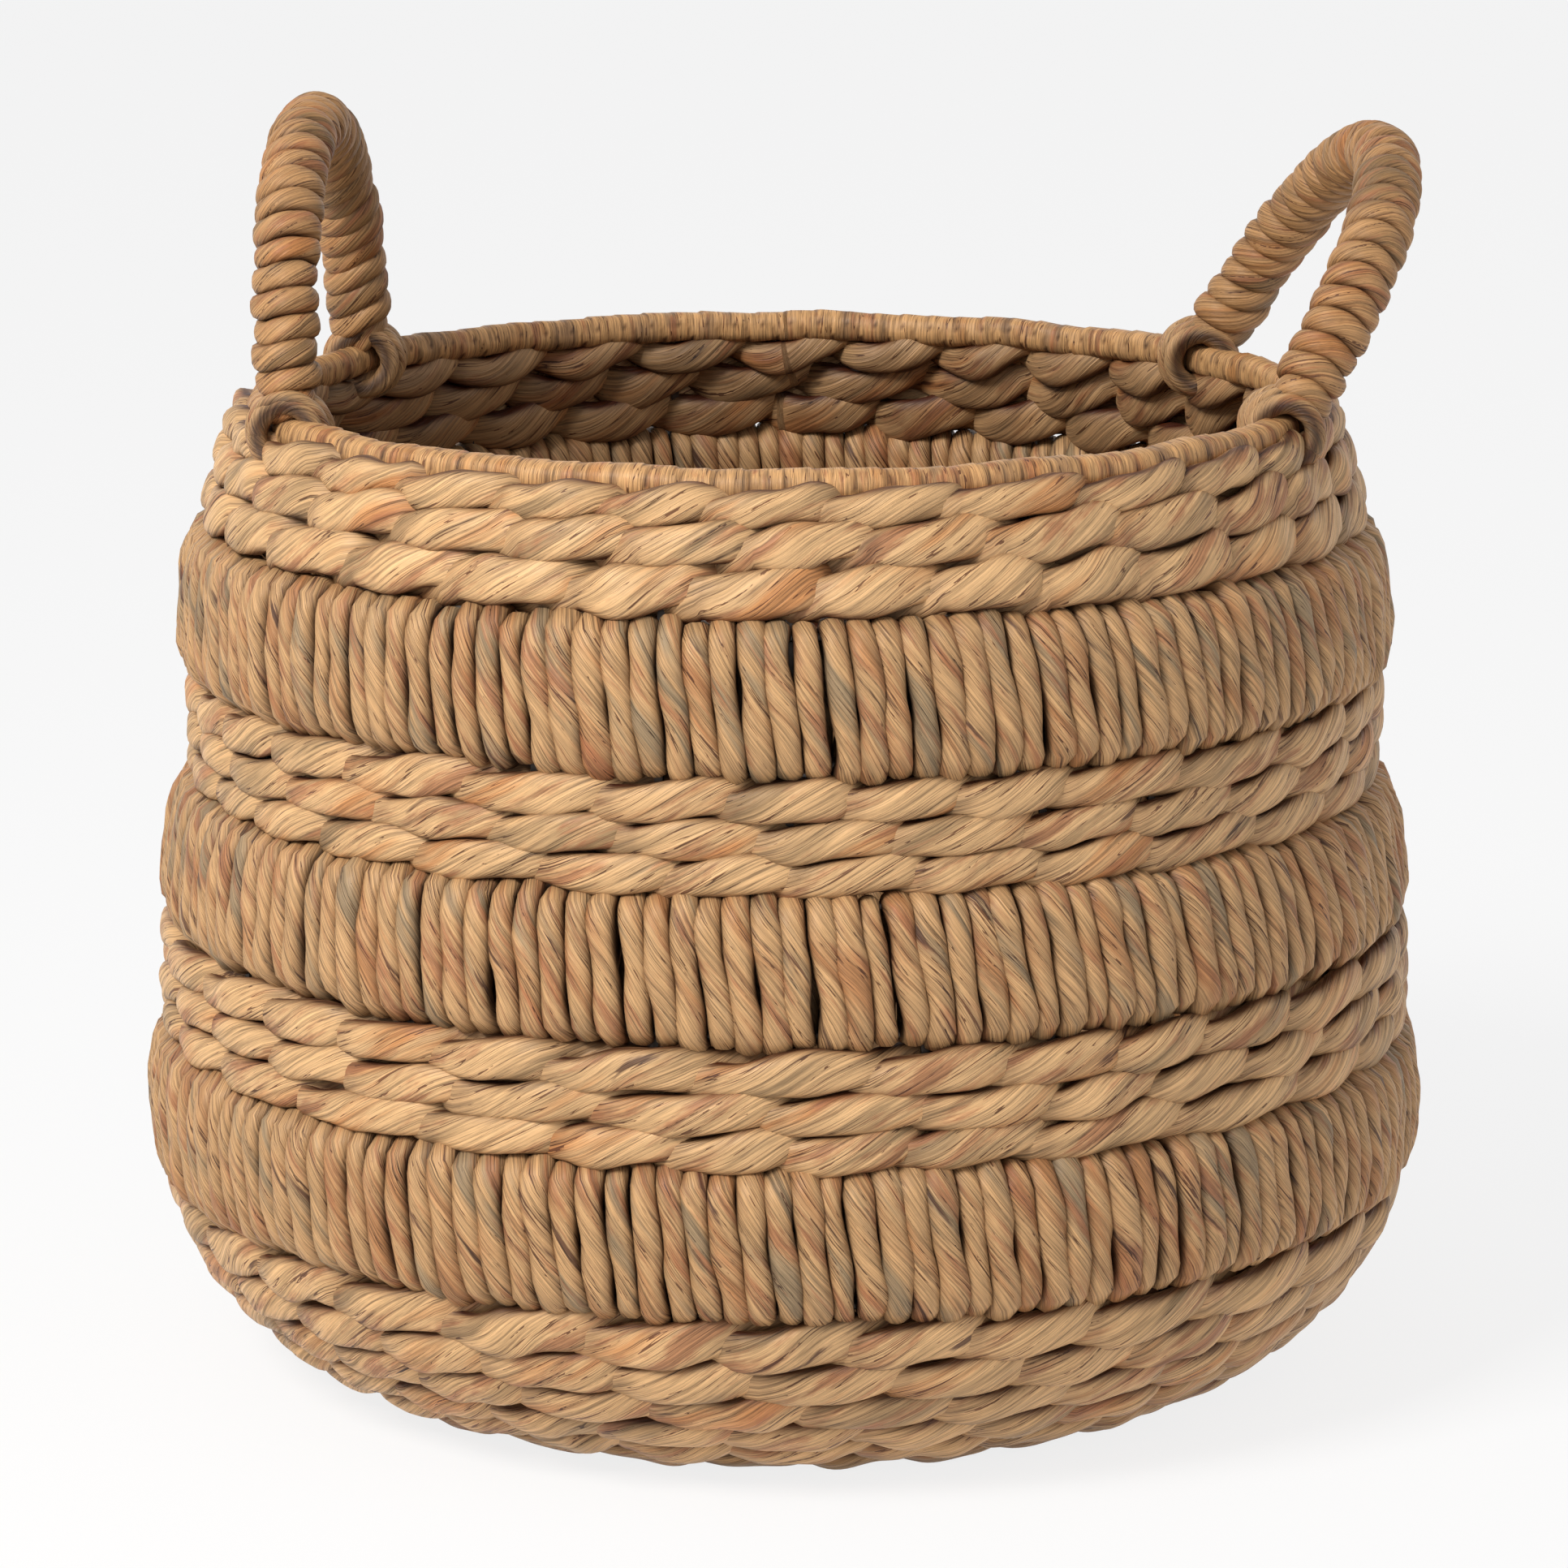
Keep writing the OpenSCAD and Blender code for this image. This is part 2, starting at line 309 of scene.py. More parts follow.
def fibre_material(name, light, golden, dull, dark_share, crease_shade_colour, bump_mm=0.45):
    material = bpy.data.materials.new(name)
    material.use_nodes = True
    tree = material.node_tree
    shader = tree.nodes["Principled BSDF"]
    coords = add_node(tree, "ShaderNodeAttribute", attribute_name="fibre").outputs["Vector"]
    tone = add_node(tree, "ShaderNodeAttribute", attribute_name="tone").outputs["Vector"]
    parts = add_node(tree, "ShaderNodeSeparateXYZ", {0: tone})
    # Long stretches of one shade along the strand
    stretch = fibre_noise(tree, coords, 0.013, 0.10, 3.0, 0.6)
    stretch = maths(tree, "ADD", stretch, maths(tree, "MULTIPLY", parts.outputs[0], 0.10))
    base = ramp(tree, stretch, [(0.32, dull), (0.43, light), (0.55, light), (0.68, golden)])
    # Reddish bruises and near-black stains, with torn edges along the fibres
    bruise = fibre_noise(tree, coords, 0.030, 0.16, 5.0, 0.62)
    reds = ramp(tree, bruise, [(0.54, 0.0), (0.64, 0.72)])
    base = blend_colour(tree, "MIX", reds, base, (*srgb(0.64, 0.40, 0.26), 1))
    stain = fibre_noise(tree, coords, 0.024, 0.20, 4.0, 0.6)
    blacks = ramp(tree, stain, [(dark_share, 0.0), (dark_share + 0.05, 0.85)])
    base = blend_colour(tree, "MIX", blacks, base, (*srgb(0.30, 0.16, 0.11), 1))
    # Fine streaks, then thin dark lines where two fibres part
    streak = fibre_noise(tree, coords, 0.035, 1.25, 3.0, 0.6)
    streaks = ramp(tree, streak, [(0.32, 0.50), (0.50, 0.95), (0.68, 1.16)])
    base = blend_colour(tree, "MULTIPLY", 1.0, base, streaks)
    fine = fibre_noise(tree, coords, 0.06, 3.4, 2.0, 0.55)
    fines = ramp(tree, fine, [(0.34, 0.58), (0.50, 0.98), (0.66, 1.12)])
    base = blend_colour(tree, "MULTIPLY", 0.8, base, fines)
    split = fibre_noise(tree, coords, 0.020, 0.75, 1.0, 0.4)
    split = maths(tree, "ABSOLUTE", maths(tree, "SUBTRACT", split, 0.5))
    broken = fibre_noise(tree, coords, 0.05, 0.3, 2.0, 0.5)
    wide = maths(tree, "MULTIPLY", maths(tree, "SUBTRACT", broken, 0.40), 0.075)
    lines = maths(tree, "LESS_THAN", split, wide)
    line_depth = maths(tree, "MULTIPLY", lines, 0.85)
    line_colour = (*srgb(0.42, 0.27, 0.19), 1)
    base = blend_colour(tree, "MULTIPLY", line_depth, base, line_colour)
    # Painted shade: creases between strands, their hidden sides and the wall's inside are darkened by
    # the tone attribute's second value
    base = blend_colour(tree, "MULTIPLY", parts.outputs[1], base, (*crease_shade_colour, 1))
    tree.links.new(base, shader.inputs["Base Color"])
    # Relief: ribs, fine fibres and the split lines
    rib = fibre_noise(tree, coords, 0.018, 0.42, 2.0, 0.5)
    height = maths(tree, "MULTIPLY", rib, 1.6)
    height = maths(tree, "ADD", height, maths(tree, "MULTIPLY", streak, 0.8))
    height = maths(tree, "ADD", height, maths(tree, "MULTIPLY", fine, 0.35))
    height = maths(tree, "SUBTRACT", height, maths(tree, "MULTIPLY", lines, 0.25))
    bump = add_node(
        tree, "ShaderNodeBump", {"Strength": 0.9, "Distance": bump_mm * MM, "Height": height}
    )
    tree.links.new(bump.outputs["Normal"], shader.inputs["Normal"])
    rough = ramp(tree, streak, [(0.35, 0.62), (0.65, 0.44)])
    tree.links.new(rough, shader.inputs["Roughness"])
    shader.inputs["Specular IOR Level"].default_value = 0.35
    return material


# In each call the last colour is the painted shade for creases and hidden sides
weave_fibre = fibre_material(
    "woven strand",
    srgb(0.86, 0.69, 0.49),
    srgb(0.79, 0.55, 0.34),
    srgb(0.67, 0.54, 0.38),
    0.66,
    srgb(0.36, 0.21, 0.12),
)
band_fibre = fibre_material(
    "band strand",
    srgb(0.79, 0.62, 0.43),
    srgb(0.71, 0.50, 0.32),
    srgb(0.62, 0.52, 0.39),
    0.63,
    srgb(0.26, 0.15, 0.09),
)
handle_fibre = fibre_material(
    "handle strand",
    srgb(0.74, 0.56, 0.37),
    srgb(0.70, 0.47, 0.27),
    srgb(0.56, 0.43, 0.28),
    0.69,
    srgb(0.36, 0.22, 0.13),
)
rim_fibre = fibre_material(
    "rim strip",
    srgb(0.82, 0.63, 0.42),
    srgb(0.76, 0.54, 0.33),
    srgb(0.64, 0.49, 0.34),
    0.74,
    srgb(0.36, 0.23, 0.14),
    0.3,
)
print("materials:", [m.name for m in (weave_fibre, band_fibre, handle_fibre, rim_fibre)])

# %% [markdown]
# ## Twined rows
# Two strands cross each other between every two upright wires, one passing in front of a wire while
# the other passes behind it. Where they cross they squeeze each other flat, so each visible piece
# is a long lens with pointed ends that slants up to the right.


# %% Small seeded wobbles
def wobble(rng, low, high, count, amount):
    """A smooth random curve round the basket that meets itself, as a function of the angle."""
    waves = rng.integers(low, high, count)
    phases = rng.uniform(0, 2 * np.pi, count)
    weights = rng.normal(0, 1, count)
    scale = amount / math.sqrt(float(np.sum(weights**2)) / 2)

    def curve(angle):
        return scale * np.sum(
            [w * np.sin(n * angle + p) for n, p, w in zip(waves, phases, weights)], axis=0
        )

    return curve


def round_the_basket(angle):
    """Outward unit vectors at these bearings."""
    return np.stack([np.cos(angle), np.sin(angle), np.zeros_like(angle)], axis=1)


def lens_shape(c):
    """Flattens a cosine a little, so that a strand stays in front for most of its half turn."""
    return np.tanh(1.2 * c) / math.tanh(1.2)


UP = np.array([[0.0, 0.0, 1.0]])
SEAM = math.pi / 2
# How far the crossing of a strand is shifted in depth, as an angle of its wave
TUCK = 0.34
# Length of one full twist of a strand, in mm
ROW_LEAD = 84.0
# Rows, strands, bands and handles draw their fibres from separate stretches of the noise
ROW_FIBRE, STRAND_FIBRE = 3000.0, 1500.0


def twined_strand(index, strand, place, rings=540, sides=22):
    z, height, thick, lean, drop = place
    rng = np.random.default_rng(100 * index + strand)
    lean = math.radians(lean)
    radius = wall_radius(z)
    crossings = STAKES // 2
    shift = wobble(np.random.default_rng(7 + index), 1, 6, 4, 0.35)
    sway = wobble(rng, 6, 34, 10, 0.45)
    swell = wobble(rng, 10, 60, 12, 0.06)
    bulge = wobble(rng, 10, 50, 12, 0.35)

    def phase(u):
        angle = 2 * np.pi * u + SEAM
        row_start = index * 2.1
        return crossings * (angle - STAKE_TURN) + strand * np.pi + row_start + shift(angle), angle

    def path(u):
        turn, angle = phase(u)
        # The new strand already lies on top where the old one is tucked away behind it
        c = lens_shape(np.cos(turn + TUCK))
        inward = np.clip(-np.cos(turn), 0, 1)
        reach = np.where(c > 0, STAKE_CLEAR + thick / 2, STAKE_CLEAR + INNER_W / 2)
        # Where they cross, both strands still stand a little proud of the wires
        off = reach * c + 0.40 * thick * (1 - np.abs(c)) + bulge(angle)
        rise = 0.135 * height * np.sin(turn) + sway(angle) - drop * inward
        outward = round_the_basket(angle)
        normal = outward * math.cos(lean) - UP * math.sin(lean)
        along_wall = outward * math.sin(lean) + UP * math.cos(lean)
        centre = outward * radius + UP * z + normal * off[:, None] + along_wall * rise[:, None]
        return centre, normal

    def size(u, v):
        turn, angle = phase(u)
        open_share = np.abs(lens_shape(np.cos(turn)))
        grow = 1 + swell(angle)
        half_1 = thick / 2 * (0.92 + 0.12 * open_share) * grow
        half_2 = height / 2 * (0.84 + 0.18 * open_share) * grow
        # Painted shade: the strand's upper and lower sides, its crossings and the stretches behind
        # the wires, inside the basket, are marked for darkening
        behind = np.clip(-np.cos(turn) + 0.1, 0, 1)
        edge = np.abs(np.sin(v)) ** 6
        crease_shade = np.clip(0.95 * edge + 0.25 * (1 - open_share) ** 2 + 0.5 * behind, 0, 1)
        return half_1, half_2, radius * 2 * np.pi * u, np.full_like(u, rng_tone), crease_shade

    rng_tone = float(rng.uniform(-0.3, 0.3))
    start = ROW_FIBRE * index + STRAND_FIBRE * strand
    return lay_tube(blank_tube(rings, sides, True), path, size, ROW_LEAD, index + strand, start)


for row_index, (row_name, row_place) in enumerate(ROWS.items()):
    strands = [twined_strand(row_index, k, row_place) for k in (0, 1)]
    finish_piece(row_name + "_weave", strands, weave_fibre, "basket", row_name)

# %% [markdown]
# ## Coiled bands
# Each band is a single strand wound round two ring wires, about 150 turns, laid side by side. Every
# turn is a little different in width, shade and slant, which is what makes the band look handmade.

# %% Coiled bands
# Height of the middle, height of the band, lean; a little taller than the construction's bands
BANDS = {"band_1": (266.0, 52.5, -5.6), "band_2": (180.3, 51.5, -9.3), "band_3": (92.8, 53.0, 0.0)}
BAND_PITCH = 8.9
BAND_DEPTH = 23.0
BAND_STRAND = 4.5
BAND_MID = 1.55
BAND_LEAD = 46.0


def band_outline(half_wide, half_tall, corner=3.0, count=721):
    """The path of one turn, seen in section: a soft rectangle, at even steps of its length."""
    a = np.linspace(0, 2 * np.pi, count)
    c, s = np.cos(a), np.sin(a)
    reach = (np.abs(c) ** corner + np.abs(s) ** corner) ** (-1 / corner)
    x, y = half_wide * c * reach, half_tall * s * reach
    length = np.concatenate([[0], np.cumsum(np.hypot(np.diff(x), np.diff(y)))])
    return x, y, length / length[-1], length[-1]


def per_turn(values, t):
    """A value that holds over the outside of each turn and changes on the inside."""
    whole = np.floor(t + 0.5).astype(int)
    part = t + 0.5 - whole
    blend = np.clip((part - 0.86) / 0.14, 0, 1)
    now, after = values[whole % len(values)], values[(whole + 1) % len(values)]
    return now + (after - now) * blend * blend * (3 - 2 * blend)


def band_coil(index, place, sides=14, rings_per_turn=26):
    z, height, lean = place
    lean = math.radians(lean)
    rng = np.random.default_rng(500 + index)
    radius = wall_radius(z) + BAND_MID
    turns = round(2 * math.pi * (radius + BAND_DEPTH / 2) / BAND_PITCH)
    x, y, share, loop_mm = band_outline(BAND_DEPTH / 2 - BAND_STRAND, height / 2 - BAND_STRAND)
    fat = 1 + np.clip(rng.normal(0, 0.095, turns), -0.2, 0.18)
    proud = np.clip(rng.normal(0, 0.55, turns), -1.0, 1.3)
    side_step = rng.normal(0, 0.75, turns)
    slant = rng.normal(-0.055, 0.04, turns)
    tall = rng.normal(0, 0.8, turns)
    shade = np.clip(rng.normal(0, 0.55, turns), -1, 1)
    waist = rng.uniform(0, 2 * np.pi, turns)

    def path(u):
        t = turns * u
        loop = np.mod(t, 1.0)
        out_x = np.interp(loop, share, x)
        up = -np.interp(loop, share, y)
        front = np.clip(out_x / (BAND_DEPTH / 2), 0, 1)
        out_x = out_x + front * per_turn(proud, t)
        up = up + np.sign(up) * per_turn(tall, t) * np.clip(np.abs(up) / 12 - 1, 0, 1)
        slide = front * (per_turn(side_step, t) + per_turn(slant, t) * up)
        slide = slide + front * 0.6 * np.sin(0.16 * up + per_turn(waist, t))
        angle = 2 * np.pi * u + SEAM + slide / radius
        outward = round_the_basket(angle)
        normal = outward * math.cos(lean) - UP * math.sin(lean)
        along_wall = outward * math.sin(lean) + UP * math.cos(lean)
        centre = outward * radius + UP * z + normal * out_x[:, None] + along_wall * up[:, None]
        spread = normal * (out_x / (BAND_DEPTH / 2))[:, None]
        return centre, spread + along_wall * (up / (height / 2))[:, None] ** 3

    def size(u, v):
        t = turns * u
        loop = np.mod(t, 1.0)
        up = np.interp(loop, share, y)
        out_x = np.interp(loop, share, x)
        grow = per_turn(fat, t) * (1 + 0.08 * np.sin(0.21 * up + 3 * per_turn(waist, t)))
        # On the inside the turns have less room, so each is narrower there
        inside = np.clip(-out_x / (BAND_DEPTH / 2), 0, 1)
        half_2 = (BAND_STRAND + 0.15) * grow * (1 - 0.10 * inside)
        half_1 = BAND_STRAND * grow
        # Painted shade: the sides against the neighbouring turns, the side facing the ring wires, and
        # the band's top and bottom edges are marked for darkening
        edge = np.abs(np.sin(v)) ** 5
        low = np.clip(-np.cos(v), 0, 1)
        end = np.clip(np.abs(up) / (height / 2) - 0.72, 0, 1) * 1.4
        crease_shade = np.clip(0.85 * edge + 0.6 * low + end, 0, 1)
        return half_1, half_2, t * loop_mm, per_turn(shade, t), crease_shade

    start = 90000.0 + 30000.0 * index
    blanks = blank_tube(turns * rings_per_turn, sides, True)
    return lay_tube(blanks, path, size, BAND_LEAD, index * 1.3, start), turns


for band_index, (band_name, band_place) in enumerate(BANDS.items()):
    coil, turn_count = band_coil(band_index, band_place)
    finish_piece(band_name + "_coil", [coil], band_fibre, "basket", band_name)
    print(band_name, turn_count, "turns")

# %% [markdown]
# ## Rim
# The rim is a wire wrapped with a split, flattened strand. Each turn of the flat strip overlaps the
# one before, which leaves a small step, and its fibres run round the rim, not along it.

# %% Rim wrap
RIM_R, RIM_Z, RIM_HALF = 176.8, 330.5, 5.5
RIM_STRIPS = 104
# The strip is flat, not twisted, so its twist is as good as endless
NO_TWIST = 1e9


def rim_tube(strips=RIM_STRIPS, rings_per_strip=8, sides=20):
    rng = np.random.default_rng(900)
    widths = rng.uniform(-0.35, 0.35, strips)
    shade = rng.uniform(-0.9, 0.9, strips)
    sway = wobble(rng, 4, 30, 8, 0.35)

    def place_on_strip(u, v):
        t = strips * u + v / (2 * np.pi) * 0.6
        which = np.floor(t).astype(int)
        return t - which, which % strips

    def path(u):
        angle = 2 * np.pi * u + SEAM
        outward = round_the_basket(angle)
        centre = outward * RIM_R + UP * (RIM_Z + sway(angle))[:, None]
        return centre, outward + 0 * centre

    def size(u, v):
        share, which = place_on_strip(u, v)
        lift = RIM_HALF + 0.45 * (share - 0.5) + widths[which] * 0.5
        # Painted shade: the start of each strip, at the low step beside the end of the one before,
        # and the rim's lower side are marked for darkening
        crease_shade = np.clip(1 - share / 0.2, 0, 1) * 0.8 + 0.25 * np.clip(-np.sin(v), 0, 1)
        return lift, lift, 2 * np.pi * RIM_R * u, shade[which], np.clip(crease_shade, 0, 1)

    bm, co, fibre, tone = lay_tube(
        blank_tube(strips * rings_per_strip, sides, True), path, size, NO_TWIST, 0.4
    )
    round_skin = np.arctan2(fibre[:, 2], fibre[:, 1])
    across = np.stack([14 * np.cos(round_skin), fibre[:, 0], 0.3 * np.sin(round_skin)], axis=1)
    return bm, co, across, tone


finish_piece("rim_binding", [rim_tube()], rim_fibre, "basket", "rim_wrap")

# %% [markdown]
# ## Base
# The base is woven like the wall but flat, ring by ring from the middle out, so the spokes show
# only as bumps.

# %% Base rings
BASE_Z = 6.0
BASE_PITCH = 12.0
BASE_FIRST = 26.0
BASE_LEAD = 60.0
BASE_THICK = 4.9


def base_strand(index, strand):
    radius = BASE_FIRST + BASE_PITCH * index
    rng = np.random.default_rng(1300 + 10 * index + strand)
    sway = wobble(rng, 3, 25, 8, 0.3)
    crossings = STAKES // 2

    def phase(u):
        angle = 2 * np.pi * u + SEAM
        return crossings * (angle - STAKE_TURN) + strand * np.pi + index * 2.3, angle

    def path(u):
        turn, angle = phase(u)
        c = lens_shape(np.cos(turn))
        outward = round_the_basket(angle)
        centre = outward * (radius + 2.6 * np.sin(turn) + sway(angle))[:, None]
        centre = centre + UP * (BASE_Z - 3.5 * c)[:, None]
        return centre, outward * 0 - UP

    def size(u, v):
        turn, _ = phase(u)
        open_share = np.abs(lens_shape(np.cos(turn)))
        half_2 = BASE_PITCH / 2 * (0.55 + 0.5 * open_share)
        half_1 = np.full_like(u, BASE_THICK / 2)
        # Painted shade: the sides against the neighbouring rings and the crossings are marked for
        # darkening
        crease_shade = np.clip(0.8 * np.abs(np.sin(v)) ** 5 + 0.5 * (1 - open_share), 0, 1)
        return half_1, half_2, 2 * np.pi * radius * u, np.full_like(u, 0.1), crease_shade

    rings = 120 + 24 * index
    start = 400000.0 + 4000.0 * index + 2000.0 * strand
    return lay_tube(blank_tube(rings, 12, True), path, size, BASE_LEAD, index + strand, start)


for base_index in range(11):
    base_name = f"base_row_{base_index + 1:02d}"
    strands = [base_strand(base_index, k) for k in (0, 1)]
    finish_piece(base_name + "_weave", strands, weave_fibre, "basket", base_name)

# %% [markdown]
# ## Handles
# A handle is a rope core with a strand wound round it in close, fat turns. On one side each turn is
# tucked under the next, which draws the turns into a row of slanting knuckles.

# %% Handle path
FOOT_HALF_ANGLE = math.radians(27.5)
HALF_SPAN = RIM_R * math.sin(FOOT_HALF_ANGLE)
HINGE_R = RIM_R * math.cos(FOOT_HALF_ANGLE)
LEG_SLOPE = math.radians(12)
HANDLES = {
    "left_handle": {"bearing": 175.0, "lean": 2.5, "rise": 92.0, "ridge": -0.6},
    "right_handle": {"bearing": 6.0, "lean": 30.0, "rise": 94.0, "ridge": 0.2},
}
SLEEVE_START = 7.0
FOOT_TAPER = 12.0


def handle_axes(handle):
    """Origin on the hinge line, then outward, hinge-line and up directions, leaning as at rest."""
    bearing, lean = math.radians(handle["bearing"]), math.radians(handle["lean"])
    out = np.array([math.cos(bearing), math.sin(bearing), 0.0])
    side = np.array([-math.sin(bearing), math.cos(bearing), 0.0])
    up = np.array([0.0, 0.0, 1.0])
    origin = out * HINGE_R + up * RIM_Z
    tilted_out = out * math.cos(lean) - up * math.sin(lean)
    tilted_up = up * math.cos(lean) + out * math.sin(lean)
    return origin, tilted_out, side, tilted_up


def handle_line(handle, count=400):
    """The centre line from foot to foot in the handle's own plane, with its length."""
    rise = handle["rise"]
    slope = LEG_SLOPE
    arch_r = (HALF_SPAN * math.cos(slope) - rise * math.sin(slope)) / (1 - math.sin(slope))
    leg = HALF_SPAN * math.sin(slope) + (rise - arch_r) * math.cos(slope)
    legs = np.linspace(SLEEVE_START, leg, 60)
    first = np.stack([HALF_SPAN - legs * math.sin(slope), legs * math.cos(slope)], axis=1)
    turn = np.linspace(slope, math.pi - slope, count)
    arch = np.stack([arch_r * np.cos(turn), rise - arch_r + arch_r * np.sin(turn)], axis=1)
    last = first[::-1] * [-1, 1]
    line = np.concatenate([first[:-1], arch, last[1:]])
    length = np.concatenate([[0], np.cumsum(np.hypot(*np.diff(line, axis=0).T))])
    return line, length


line_points, line_length = handle_line(HANDLES["left_handle"])
print("left handle winding length, mm:", round(float(line_length[-1])))

# %% Handle winding
WIND_PITCH = 8.3
WIND_R = 7.0
WIND_HALF = 4.15
WIND_LEAD = 40.0


def handle_winding(name, handle, seed):
    rng = np.random.default_rng(seed)
    origin, out, side, up = handle_axes(handle)
    line, length = handle_line(handle)
    total = length[-1]
    turns = round(total / WIND_PITCH)
    fat = 1 + np.clip(rng.normal(0, 0.05, turns + 2), -0.1, 0.1)
    proud = rng.normal(0, 0.3, turns + 2)
    shade = np.clip(rng.normal(-0.1, 0.5, turns + 2), -1, 1)
    knuckle = handle["ridge"]

    def at(distance):
        distance = np.clip(distance, 0, total)
        a = np.interp(distance, length, line[:, 0])
        b = np.interp(distance, length, line[:, 1])
        a2 = np.interp(distance + 0.5, length, line[:, 0])
        b2 = np.interp(distance + 0.5, length, line[:, 1])
        a1 = np.interp(distance - 0.5, length, line[:, 0])
        b1 = np.interp(distance - 0.5, length, line[:, 1])
        tangent = unit((a2 - a1)[:, None] * side + (b2 - b1)[:, None] * up)
        centre = origin + a[:, None] * side + b[:, None] * up
        return centre, tangent

    def path(u):
        t = turns * u
        spin = 2 * np.pi * t
        ridge_near = np.clip(np.cos(spin - knuckle), 0, 1) ** 2
        # The turn is drawn along the handle as it nears the ridge
        slide = 3.4 * (ridge_near - 0.35)
        centre, tangent = at(total * u + slide)
        across = np.cross(tangent, out[None, :])
        spoke = np.cos(spin)[:, None] * out + np.sin(spin)[:, None] * across
        from_foot = np.minimum(total * u, total * (1 - u))
        narrow = 1 - 0.35 * np.clip(1 - from_foot / FOOT_TAPER, 0, 1)
        reach = (WIND_R + per_turn(proud, t) + 1.3 * ridge_near) * narrow
        return centre + spoke * reach[:, None], spoke

    def size(u, v):
        t = turns * u
        spin = 2 * np.pi * t
        ridge_near = np.clip(np.cos(spin - knuckle), 0, 1) ** 2
        grow = per_turn(fat, t)
        half_1 = (WIND_HALF - 0.15 + 0.2 * ridge_near) * grow
        half_2 = (WIND_HALF + 0.45) * grow
        # Painted shade: the sides against the neighbouring turns and the inner side on the rope core
        # are marked for darkening
        crease_shade = np.clip(0.9 * np.abs(np.sin(v)) ** 5 + 0.7 * np.clip(-np.cos(v), 0, 1), 0, 1)
        return half_1, half_2, t * 2 * np.pi * WIND_R, per_turn(shade, t), crease_shade

    blanks = blank_tube(turns * 40, 16, False)
    return lay_tube(blanks, path, size, WIND_LEAD, seed * 0.1, 500000.0 + 9000.0 * seed)


for number, (handle_name, handle) in enumerate(HANDLES.items()):
    winding = handle_winding(handle_name, handle, 3 + number)
    finish_piece(
        handle_name + "_winding",
        [winding],
        handle_fibre,
        handle_name,
        handle_name + "_wrap",
    )

# %% [markdown]
# ## Lashings
# Each foot of a handle is tied down with a few turns of the same strand over the rim.


# %% Foot lashings
LASHING_LEAD = 30.0
# Each turn: its place along the rim, its radius, and its slant
LASHING_TURNS = ((-7.8, 9.6, 0.30), (-2.4, 10.9, -0.22), (2.8, 11.0, 0.25), (8.0, 9.6, -0.28))


def lashing(handle, foot, seed):
    origin, out, side, up = handle_axes(handle)
    foot_at = origin + side * foot * HALF_SPAN
    rng = np.random.default_rng(seed)
    loops = []
    for order, (shift, reach, slant) in enumerate(LASHING_TURNS):
        turn_start = rng.uniform(0, 2 * np.pi)

        def path(u, shift=shift, reach=reach, slant=slant, turn_start=turn_start):
            spin = 2 * np.pi * u
            spoke = np.cos(spin)[:, None] * out + np.sin(spin)[:, None] * up
            drift = shift + slant * reach * np.sin(spin + turn_start)
            return foot_at + spoke * reach + drift[:, None] * side, spoke

        def size(u, v, reach=reach):
            # Painted shade: the sides against the neighbouring loops and the inner side are marked
            # for darkening
            crease_shade = np.clip(0.9 * np.abs(np.sin(v)) ** 5 + 0.6 * np.clip(-np.cos(v), 0, 1), 0, 1)
            half = np.full_like(u, 3.4)
            return half, half + 0.5, 2 * np.pi * reach * u, np.full_like(u, 0.2), crease_shade

        start = 700000.0 + 500.0 * seed + 90.0 * order
        loops.append(lay_tube(blank_tube(64, 16, True), path, size, LASHING_LEAD, order, start))
    return loops


FEET = {
    "left_front_loop": ("left_handle", 1),
    "left_rear_loop": ("left_handle", -1),
    "right_front_loop": ("right_handle", -1),
    "right_rear_loop": ("right_handle", 1),
}
for number, (loop_name, (handle_name, foot)) in enumerate(FEET.items()):
    loops = lashing(HANDLES[handle_name], foot, 40 + number)
    finish_piece(loop_name + "_lashing", loops, band_fibre, handle_name, loop_name)

# %% [markdown]
# ## Wires and cores
# The wires, the rope cores and the middle knot keep their construction shapes and only need a
# surface. The rim wire is nearly hidden, so it takes the colour of the strip round it.


# %% Wire and core finishes
def plain_material(name, colour, rough, metal):
    material = bpy.data.materials.new(name)
    material.use_nodes = True
    tree = material.node_tree
    shader = tree.nodes["Principled BSDF"]
    coords = add_node(tree, "ShaderNodeTexCoord").outputs["Object"]
    noise = add_node(
        tree, "ShaderNodeTexNoise", {"Vector": coords, "Scale": 400.0, "Detail": 4.0}
    ).outputs["Fac"]
    dark = tuple(c * 0.55 for c in colour)
    tree.links.new(ramp(tree, noise, [(0.35, dark), (0.65, colour)]), shader.inputs["Base Color"])
    bump = add_node(tree, "ShaderNodeBump", {"Strength": 0.4, "Distance": 0.2 * MM, "Height": noise})
    tree.links.new(bump.outputs["Normal"], shader.inputs["Normal"])
    shader.inputs["Roughness"].default_value = rough
    shader.inputs["Metallic"].default_value = metal
    return material


wire_steel = plain_material("frame wire", srgb(0.33, 0.30, 0.28), 0.5, 0.8)
core_rope = plain_material("rope core", srgb(0.45, 0.32, 0.20), 0.8, 0.0)
rim_rod = plain_material("rim rod", srgb(0.66, 0.49, 0.32), 0.7, 0.0)
base_knot = plain_material("base knot", srgb(0.62, 0.46, 0.30), 0.7, 0.0)
for node_name, node_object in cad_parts.items():
    finish = None
    if node_name in ("stakes", "hub_ring", "rim_wire") or node_name.endswith("_wire"):
        finish = wire_steel
    if node_name == "rim_wire":
        finish = rim_rod
    if node_name.endswith("_core"):
        finish = core_rope
    if node_name == "base_centre":
        finish = base_knot
    if finish:
        node_object.data.materials.clear()
        node_object.data.materials.append(finish)
print("wires and cores finished")

# %% [markdown]
# ## Stage and light
# A plain pale floor and soft light from the upper left. The right side falls into gentle shade.


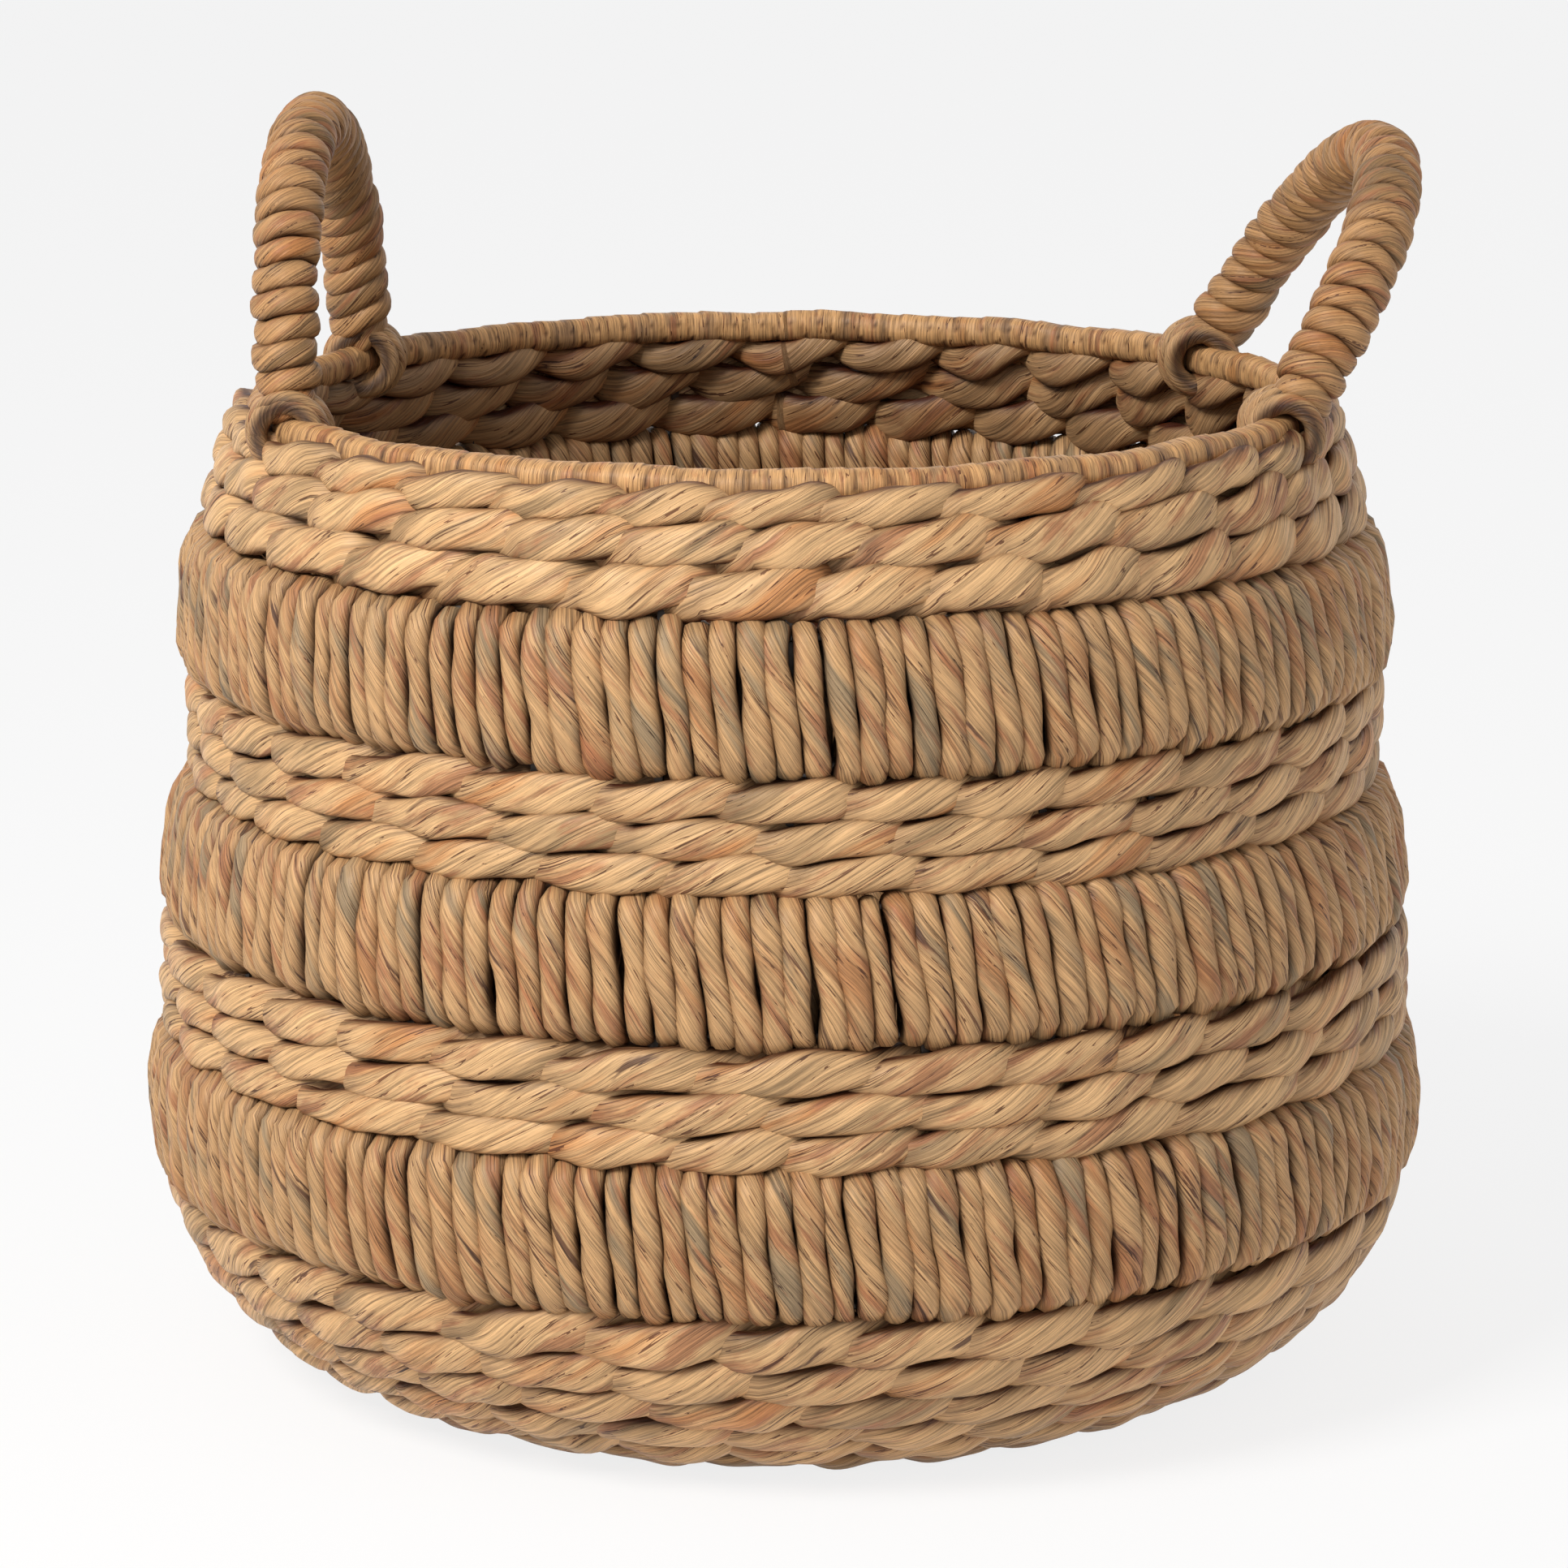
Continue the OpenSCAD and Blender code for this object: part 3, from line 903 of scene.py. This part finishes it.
# %% Stage
def stage_material(name, colour, glow):
    """Pale floor that the camera sees as nearly white, apart from the shadow on it."""
    material = bpy.data.materials.new(name)
    material.use_nodes = True
    tree = material.node_tree
    shader = tree.nodes["Principled BSDF"]
    shader.inputs["Base Color"].default_value = (*colour, 1)
    shader.inputs["Roughness"].default_value = 0.9
    white = add_node(tree, "ShaderNodeEmission", {"Color": (1, 1, 1, 1), "Strength": 1.0})
    rays = add_node(tree, "ShaderNodeLightPath")
    seen = maths(tree, "MAXIMUM", rays.outputs["Is Camera Ray"], rays.outputs["Is Glossy Ray"])
    share = maths(tree, "MULTIPLY", seen, glow)
    mixed = add_node(
        tree,
        "ShaderNodeMixShader",
        {0: share, 1: shader.outputs[0], 2: white.outputs[0]},
    )
    tree.links.new(mixed.outputs[0], tree.nodes["Material Output"].inputs["Surface"])
    return material


floor_bm = bmesh.new()
bmesh.ops.create_grid(floor_bm, x_segments=1, y_segments=1, size=30)
floor_mesh = bpy.data.meshes.new("floor")
floor_bm.to_mesh(floor_mesh)
floor_bm.free()
floor = bpy.data.objects.new("floor", floor_mesh)
bpy.context.scene.collection.objects.link(floor)
floor_mesh.materials.append(stage_material("pale floor", (0.9, 0.9, 0.9), 0.82))

world = bpy.data.worlds.new("studio")
bpy.context.scene.world = world
world.use_nodes = True
sky = world.node_tree
sky_light = sky.nodes["Background"]
rays = add_node(sky, "ShaderNodeLightPath")
seen = maths(sky, "MAXIMUM", rays.outputs["Is Camera Ray"], rays.outputs["Is Glossy Ray"])
sky.links.new(
    blend_colour(sky, "MIX", seen, (0.38, 0.38, 0.39, 1), (1.0, 1.0, 1.0, 1)),
    sky_light.inputs["Color"],
)


def soft_light(name, place, aim, side, watts, colour):
    lamp = bpy.data.lights.new(name, "AREA")
    lamp.shape, lamp.size, lamp.energy, lamp.color = "SQUARE", side, watts, colour
    rig = bpy.data.objects.new(name, lamp)
    rig.location = place
    rig.rotation_euler = (Vector(aim) - Vector(place)).to_track_quat("-Z", "Y").to_euler()
    bpy.context.scene.collection.objects.link(rig)


soft_light("key", (-1.3, -1.5, 1.9), (0, 0, 0.2), 0.9, 60, (1.0, 0.985, 0.96))
soft_light("fill", (1.9, -1.3, 0.9), (0, 0, 0.2), 1.4, 5, (0.97, 0.98, 1.0))
print("lights set")
